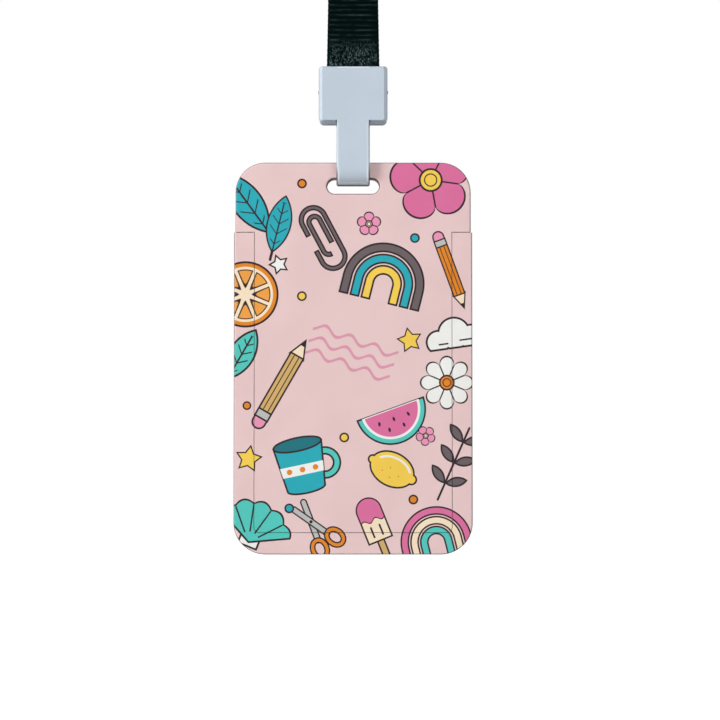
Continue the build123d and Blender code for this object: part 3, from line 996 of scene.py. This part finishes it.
# %% Dress the construction
def dress(name, material, round_edge):
    """Gives a construction piece its material and rounds its sharp edges a little."""
    piece = nodes[name]
    piece.data.materials.clear()
    piece.data.materials.append(material)
    flatten = piece.modifiers.new("join_flats", "DECIMATE")
    flatten.decimate_type = "DISSOLVE"
    flatten.angle_limit = math.radians(0.4)
    bevel = piece.modifiers.new("broken_edges", "BEVEL")
    bevel.width = round_edge
    bevel.segments = 2
    bevel.limit_method = "ANGLE"
    bevel.angle_limit = math.radians(32)
    bevel.harden_normals = True


for name, material, round_edge in (
    ("card_tray", case_plastic, 0.12),
    ("case_shell", case_plastic, 0.12),
    ("clip_body", clip_plastic, 0.2),
    ("clip_back_cover", cover_plastic, 0.12),
    ("clip_gate", cover_plastic, 0.1),
    ("gate_pin", pin_steel, 0.05),
):
    dress(name, material, round_edge * MM)
print("dressed:", [name for name in nodes if nodes[name].modifiers])

# %% [markdown]
# ## The strap
# The strap is ribbed webbing, woven 15 mm wide and a millimetre thick. Its two ends are clamped
# in the clip, so it rises as two layers face to face, and its far end is a fold. What is not
# worn is put away in a hank. A plain band with a bump map would have straight edges. Real ribs
# show in the outline too, so they are built into the mesh: one ring of points every fifth of a
# millimetre, along a smooth line that runs up one layer, round the fold, and back down the other.

# %% Webbing sizes
STRAP_WIDTH = 15 * MM
LAYER_THICK = 1.0 * MM
LAYER_OFFSET = 0.54 * MM  # from the middle of the strap to the middle of a layer
RIB_PITCH = 1.42 * MM
RIB_DEPTH = 0.12 * MM
SELVEDGE = 0.93  # the share of the half width beyond which the ribs notch the edge
NOTCH = 0.9  # how deep they notch it, as a share of their own depth
RING_STEP = 0.19 * MM
NARROWING = 0.045  # how much narrower webbing is once it is clear of its clamp
NARROWING_RUN = 18 * MM  # how far from the clamp that takes
print(f"webbing {STRAP_WIDTH / MM:.0f} x {LAYER_THICK / MM:.1f} mm, with a rib every {RIB_PITCH / MM:.2f} mm")

# %% The strap's route
# The points are (y, z) in millimetres: up from the clip, over the top of the hank, and four
# times through the waist where the tie holds it.
ROUTE = (
    (-9, -137.2), (-9, -125), (-9, -100), (-9, -75), (-9, -50), (-9, -25), (-9, -8),
    (-9, 3.73), (-3.73, 9), (3.73, 9), (9, 3.73),
    (9, -8), (9, -20), (9, -30.5), (0.3, -41.5), (0.3, -53), (9, -64.5), (9, -75), (9, -80),
    (9, -96.49), (5.49, -100), (0.51, -100), (-3, -96.49),
    (-3, -80), (-3, -75), (-3, -64.5), (-5.9, -53), (-5.9, -41.5), (-3, -30.5), (-3, -20),
    (-3, -12.76), (-1.24, -11), (1.24, -11), (3, -12.76),
    (3, -20), (3, -30.5), (-2.8, -41.5), (-2.8, -53), (3, -64.5), (3, -75), (3, -88),
)  # fmt: skip


def read_route(points):
    """The points of a smooth line through the route, read from a spline."""
    curve = bpy.data.curves.new("strap_route", "CURVE")
    curve.dimensions = "3D"
    spline = curve.splines.new("NURBS")
    spline.points.add(len(points) - 1)
    for point, (y, z) in zip(spline.points, points):
        point.co = (0, y * MM, z * MM, 1)
    spline.order_u = 3
    spline.use_endpoint_u = True
    spline.resolution_u = 128
    carrier = bpy.data.objects.new("strap_route", curve)
    line = bpy.data.meshes.new_from_object(carrier)
    path = [vertex.co.copy() for vertex in line.vertices]
    bpy.data.meshes.remove(line)
    bpy.data.objects.remove(carrier)
    bpy.data.curves.remove(curve)
    return path


def thin_out(path, step):
    """Leaves out points that lie nearer than a step to the last one kept."""
    kept = [path[0]]
    for point in path[1:-1]:
        if (point - kept[-1]).length >= step:
            kept.append(point)
    return [*kept, path[-1]]


strap_path = thin_out(read_route(ROUTE), RING_STEP)
route_length = sum((b - a).length for a, b in zip(strap_path, strap_path[1:]))
print(f"strap route {route_length * 1000:.1f} mm in {len(strap_path)} points")


# %% The line of one layer
def layer_line(path, offset):
    """Up one side of the path, round a fold at its end, and back down the other side."""
    ends = [path[0], *path, path[-1]]
    sides = []
    for before, after in zip(ends, ends[2:]):
        run = (after - before).normalized()
        sides.append(Vector((0, -run.z, run.y)))
    up = [point + side * offset for point, side in zip(path, sides)]
    down = [point - side * offset for point, side in zip(path, sides)]
    onward = (path[-1] - path[-2]).normalized()
    fold = []
    for step in range(1, 8):
        angle = math.pi * step / 8
        fold.append(path[-1] + offset * (math.cos(angle) * sides[-1] + math.sin(angle) * onward))
    return up + fold + down[::-1]


webbing_line = layer_line(strap_path, LAYER_OFFSET)
print("rings of webbing:", len(webbing_line))


# %% The section of one layer
def webbing_section(half_width, half_thick, columns=9, round_steps=3):
    """Points (across, out) round a flat band with rounded edges, once round."""
    flat = half_width - half_thick
    top = [(-flat + 2 * flat * i / (columns - 1), half_thick) for i in range(columns)]
    turn = [math.pi * i / (round_steps + 1) for i in range(1, round_steps + 1)]
    right = [(flat + half_thick * math.sin(a), half_thick * math.cos(a)) for a in turn]
    return top + right + [(-x, -y) for x, y in top] + [(-x, -y) for x, y in right]


strap_section = webbing_section(STRAP_WIDTH / 2, LAYER_THICK / 2)
print("points in a ring:", len(strap_section))


# %% Meshes from rings of points
def start_mesh():
    """An empty mesh in the making, and its weave map, which is in millimetres."""
    work = bmesh.new()
    return work, work.loops.layers.uv.new("weave")


def join_rings(work, weave, first, first_marks, second, second_marks):
    """Smooth faces between two rings. The marks are places on the weave map, in metres.

    A ring has one mark more than it has points, so that the map does not run back at the seam.
    """
    for k in range(len(first)):
        n = (k + 1) % len(first)
        face = work.faces.new((first[k], second[k], second[n], first[n]))
        face.smooth = True
        marks = (first_marks[k], second_marks[k], second_marks[k + 1], first_marks[k + 1])
        for loop, (u, v) in zip(face.loops, marks):
            loop[weave].uv = (u / MM, v / MM)


def finish_mesh(name, work):
    bmesh.ops.recalc_face_normals(work, faces=work.faces)
    mesh = bpy.data.meshes.new(name)
    work.to_mesh(mesh)
    work.free()
    print(f"{name}: {len(mesh.vertices)} points")
    return add_object(name, mesh)


# %% Weave the strap into a mesh
def ribs(travelled):
    """The height of the ribs at a distance along the webbing, 0 in a groove and 1 on a rib."""
    return abs(math.sin(math.pi * travelled / RIB_PITCH)) ** 0.7


def strap_narrowing(height):
    """The strap's width at a height, as a share of its width in the clamp."""
    free = min(max((height - clip_high.z) / NARROWING_RUN, 0.0), 1.0)
    return 1.0 - NARROWING * free


def build_webbing(name, line, section):
    work, weave = start_mesh()
    ends = [line[0], *line, line[-1]]
    around = [0.0]
    for a, b in zip(section, section[1:] + section[:1]):
        around.append(around[-1] + math.dist(a, b))
    travelled, previous = 0.0, None
    for i, point in enumerate(line):
        travelled += (point - line[max(i - 1, 0)]).length
        run = (ends[i + 2] - ends[i]).normalized()
        side = Vector((0, -run.z, run.y))
        rise = RIB_DEPTH * (ribs(travelled) - 1)
        narrow = strap_narrowing(point.z)
        ring = []
        for across, out in section:
            notched = abs(across) / (STRAP_WIDTH / 2) > SELVEDGE
            x = across * narrow + (rise * math.copysign(NOTCH, across) if notched else 0.0)
            reach = out + rise * math.copysign(min(abs(out) / (LAYER_THICK / 2), 1.0), out)
            ring.append(work.verts.new(point + Vector((x, 0, 0)) + side * reach))
        marks = [(place, travelled) for place in around]
        if previous:
            join_rings(work, weave, *previous, ring, marks)
        else:
            work.faces.new(ring)
        previous = ring, marks
    work.faces.new(previous[0][::-1])
    return finish_mesh(name, work)


strap = build_webbing("webbing_strap", webbing_line, strap_section)


# %% [markdown]
# ### Webbing material
# Each rib is a row of threads lying side by side, and each thread is a thin twist of filaments.
# Black webbing is hardly glossy: what shows are the crests of the ribs, and those unevenly.
# The mesh has the ribs. The threads across each rib, the twist in them and stray fibres are too
# fine to build, so they come from the weave map, which counts millimetres across and along. The
# light on the weave is painted into its colour: the grooves get a darker ink as painted shade,
# and the crests a pale ink as painted sheen. Just above the clip the webbing has been crushed by
# the clamp, and there the ribs break up into a crinkle whose creases get the same painted sheen.

# %% Threads
def make_webbing_threads():
    graph, entry, leave = new_group(
        "webbing_threads",
        [
            ("Weave", "vector", None),
            ("Rib Pitch", "value", RIB_PITCH / MM),
            ("Thread Pitch", "value", 0.42),
            ("Crinkle", "value", 0.0),
        ],
        [("Thread", "value"), ("Rib", "value"), ("Sheen", "value"), ("Height", "value")],
    )
    fine = graph.noise(entry["Weave"], 2.2)
    streak = graph.noise(graph.vector("MULTIPLY", entry["Weave"], (0.2, 0.9, 1)), 1.0)
    x, y, _ = graph.split(entry["Weave"])
    along = graph.math("DIVIDE", y, entry["Rib Pitch"])
    rib = graph.ridges(along)
    graph.feed(leave.inputs["Rib"], rib)
    row = graph.math("FLOOR", along)
    in_row = graph.math("SUBTRACT", along, row)
    slant = graph.math("MULTIPLY_ADD", in_row, 0.7, graph.math("MULTIPLY", row, 0.5))
    thread = graph.ridges(graph.math("ADD", graph.math("DIVIDE", x, entry["Thread Pitch"]), slant))
    graph.feed(leave.inputs["Thread"], thread)
    woven = graph.math("MULTIPLY_ADD", thread, 0.55, graph.math("MULTIPLY", fine, 0.6))
    stood = graph.vector("MULTIPLY", entry["Weave"], (1.1, 0.55, 1))
    creased = graph.noise(stood, 1.0, 1.5, Distortion=1.1)
    ridge = graph.math("ABSOLUTE", graph.math("SUBTRACT", creased, 0.53))
    crease = graph.product(graph.where((ridge, 0.06, 0.012), (fine, 0.34, 0.56)), entry["Crinkle"])
    graph.feed(leave.inputs["Height"], graph.math("MULTIPLY_ADD", crease, 1.6, woven))
    patch = graph.noise(entry["Weave"], 0.16, 1.0)
    crest = graph.where((rib, 0.7, 1.0), (streak, 0.4, 0.66), (patch, 0.36, 0.62, 0.08, 0.25))
    graph.feed(leave.inputs["Sheen"], graph.highest(crease, crest))
    return graph.tree


webbing_threads = make_webbing_threads()
print("webbing threads:", len(webbing_threads.nodes), "nodes")


# %% Webbing material
def weave_look(graph, shader, threads, sheen, inks, matt, dents):
    """The inks are of the grooves (darker, as painted shade), the ribs and the crests (a pale painted sheen,
    laid by the sheen mask), and matt is the range of roughness.
    """
    groove, rib, crest = inks
    ground = graph.mix(threads.outputs["Rib"], groove, rib)
    graph.feed(shader.inputs["Base Color"], graph.mix(sheen, ground, crest))
    graph.feed(shader.inputs["Roughness"], graph.smooth(threads.outputs["Thread"], 0.0, 1.0, *matt))
    grain_bump(graph, shader, threads.outputs["Height"], *dents)


def make_webbing_material():
    material, graph, shader = new_material("black_webbing", {"Specular IOR Level": 0.02})
    weave = graph.node("ShaderNodeUVMap", uv_map="weave").outputs[0]
    across, _, level = graph.split(millimetres(graph, (0, 0, clip_high.z)))
    crushed = graph.smooth(level, 9.0, 2.0)
    threads = graph.group(webbing_threads, {"Weave": weave, "Crinkle": crushed})
    inside = graph.smooth(graph.math("ABSOLUTE", across), 7.0, 6.5)
    sheen = graph.product(threads.outputs["Sheen"], inside)
    # dark grooves as painted shade, and a pale crest ink as painted sheen
    inks = (srgb(0, 4, 5), srgb(0, 15, 15), srgb(84, 106, 105))
    weave_look(graph, shader, threads, sheen, inks, matt=(0.72, 0.56), dents=(0.6, 0.12))
    return material


strap.data.materials.append(make_webbing_material())
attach(strap, "clip")
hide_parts("neck_strap", "strap_hank")

# %% [markdown]
# ## The tie
# A loop of flat elastic holds the hank at its waist. Flat elastic has a few rubber cores side by
# side under a knitted cover, which show as ridges that run round the loop. It is drawn as one
# closed band: a ridged section carried round a rectangle with large corners.

# %% Elastic band
CORES = 5
ROWS_PER_CORE = 6
TIE_THICK = (tie_high.x - hank_high.x) * 0.94
TIE_CORNER = 2.2 * MM
GROOVE_DEPTH = TIE_THICK * 0.24
TIE_INSIDE = TIE_THICK * 0.78  # from the ridges in to the smooth side
print(f"tie: {CORES} cores, {TIE_THICK / MM:.2f} mm thick")


def band_outline(half_x, half_y, corner, corner_steps=10, side_steps=12):
    """Points round a rectangle with round corners, and the direction that faces out at each."""
    points = []
    for quarter in range(4):
        start = math.pi / 2 * quarter
        middle_x = math.copysign(half_x - corner, math.cos(start + math.pi / 4))
        middle_y = math.copysign(half_y - corner, math.sin(start + math.pi / 4))
        for step in range(corner_steps + 1):
            angle = start + math.pi / 2 * step / corner_steps
            out = Vector((math.cos(angle), math.sin(angle)))
            points.append((Vector((middle_x, middle_y)) + corner * out, out))
    filled = []
    for (point, out), (following, next_out) in zip(points, points[1:] + points[:1]):
        filled.append((point, out))
        steps = side_steps if (following - point).length > corner / 2 else 1
        for step in range(1, steps):
            share = step / steps
            filled.append((point.lerp(following, share), out.lerp(next_out, share).normalized()))
    return filled


def build_tie():
    middle = (tie_low + tie_high) / 2
    half = (tie_high - tie_low) / 2
    outline = band_outline(half.x, half.y, TIE_CORNER)
    section = []
    rows = CORES * ROWS_PER_CORE
    for row in range(rows + 1):
        share = row / rows
        ridge = abs(math.sin(math.pi * CORES * share)) ** 0.6
        section.append((-GROOVE_DEPTH * (1 - ridge), half.z * (2 * share - 1)))
    section += [(-TIE_INSIDE, half.z * 0.97), (-TIE_INSIDE, -half.z * 0.97)]
    work, weave = start_mesh()
    rings, places, travelled = [], [], 0.0
    for i, (point, out) in enumerate(outline):
        travelled += (point - outline[max(i - 1, 0)][0]).length
        places.append(travelled)
        rings.append([
            work.verts.new((middle.x + spot.x, middle.y + spot.y, middle.z + z))
            for spot, z in ((point + out * depth, z) for depth, z in section)
        ])
    places.append(travelled + (outline[0][0] - outline[-1][0]).length)
    heights = [z for _, z in section] + [section[0][1]]
    for i, ring in enumerate(rings):
        marks, next_marks = ([(place, z) for z in heights] for place in places[i : i + 2])
        join_rings(work, weave, ring, marks, rings[(i + 1) % len(rings)], next_marks)
    return finish_mesh("elastic_tie", work)


# %% Elastic material
def make_elastic_material():
    material, graph, shader = new_material("grey_elastic")
    weave = graph.node("ShaderNodeUVMap", uv_map="weave").outputs[0]
    threads = graph.group(webbing_threads, {"Weave": weave, "Rib Pitch": 0.35, "Thread Pitch": 0.3})
    # dark grooves as painted shade, and a paler crest ink as painted sheen
    inks = (srgb(22, 24, 26), srgb(48, 51, 54), srgb(78, 82, 86))
    sheen = threads.outputs["Sheen"]
    weave_look(graph, shader, threads, sheen, inks, matt=(0.8, 0.65), dents=(0.5, 0.08))
    return material


tie = build_tie()
tie.data.materials.append(make_elastic_material())
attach(tie, "clip")
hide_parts("hank_tie")
print("the tie rides on the clip")

# %% [markdown]
# ## Studio
# The case hangs well above a plain white floor, so its shadow falls soft and low. The world
# gives a soft white light, stronger from above than from below, so undersides come out darker.
# A large soft lamp at the left models the bevels: their left sides come out light and their
# right sides dark. The floor has to read as white in every view and still keep the shadow, so
# it adds a little light of its own for the camera, and more far away, where the lamps no longer
# reach.

# %% Floor
FLOOR_Z = -0.45
FLOOR_HALF = 6.0
PAPER_WHITE = (1, 1, 1, 1)


def shown(graph):
    """1 for a ray that shows a thing, straight, mirrored or through glass, and 0 for one that lights."""
    rays = graph.node("ShaderNodeLightPath").outputs
    return graph.highest(rays["Is Camera Ray"], rays["Is Glossy Ray"], rays["Is Transmission Ray"])


def make_floor():
    mesh = bpy.data.meshes.new("studio_floor")
    corners = [(x * FLOOR_HALF, y * FLOOR_HALF, FLOOR_Z) for x, y in ((-1, -1), (1, -1), (1, 1), (-1, 1))]
    mesh.from_pydata(corners, [], [(0, 1, 2, 3)])
    floor = add_object("studio_floor", mesh)
    constants = {"Roughness": 0.9, "Specular IOR Level": 0.1, "Emission Color": PAPER_WHITE}
    material, graph, shader = new_material("studio_paper", constants)
    place = graph.node("ShaderNodeTexCoord").outputs["Object"]
    away = graph.vector("LENGTH", graph.vector("MULTIPLY", place, (1, 1, 0)))
    tooth = graph.noise(place, 900.0, 2.0)
    graph.feed(shader.inputs["Base Color"], graph.mix(tooth, srgb(196, 196, 196), srgb(202, 202, 202)))
    glow = graph.smooth(away, 0.3, 1.2, 0.5, 1.0)  # full from 1.2 m out, and half under the case
    graph.feed(shader.inputs["Emission Strength"], graph.product(shown(graph), glow))
    mesh.materials.append(material)


make_floor()
print("floor at z", FLOOR_Z)


# %% World
WORLD_LIGHT = 0.36  # from above
WORLD_LOW_LIGHT = 0.14  # from below


def make_world():
    world = bpy.data.worlds.new("studio_world")
    world.use_nodes = True
    world.node_tree.nodes.clear()
    graph = Graph(world.node_tree)
    direction = graph.node("ShaderNodeTexCoord").outputs["Generated"]
    light = graph.smooth(graph.split(direction)[2], -0.5, 0.5, WORLD_LOW_LIGHT, WORLD_LIGHT)
    strength = graph.highest(light, shown(graph))
    background = graph.node("ShaderNodeBackground", {"Color": PAPER_WHITE, "Strength": strength})
    output = graph.node("ShaderNodeOutputWorld")
    graph.tree.links.new(background.outputs[0], output.inputs["Surface"])
    bpy.context.scene.world = world


make_world()
print(f"world light: {WORLD_LIGHT} from above, {WORLD_LOW_LIGHT} from below")


# %% Lamps
CASE_CENTRE = Vector((0, shell_low.y, case_middle))
for name, place, size, watts in (
    ("key_lamp", (-0.98, -0.51, 0.14), 0.5, 11.9),
    ("fill_lamp", (0.66, -0.77, 0.2), 0.6, 3.2),
    ("back_lamp", (0.0, 1.1, -0.1), 0.6, 6.0),
):
    data = bpy.data.lights.new(name, "AREA")
    data.shape = "DISK"
    data.size = size
    data.energy = watts
    lamp = add_object(name, data)
    lamp.location = place
    lamp.rotation_euler = (CASE_CENTRE - lamp.location).to_track_quat("-Z", "Y").to_euler()
bpy.context.scene.view_settings.view_transform = "Standard"

# %% [markdown]
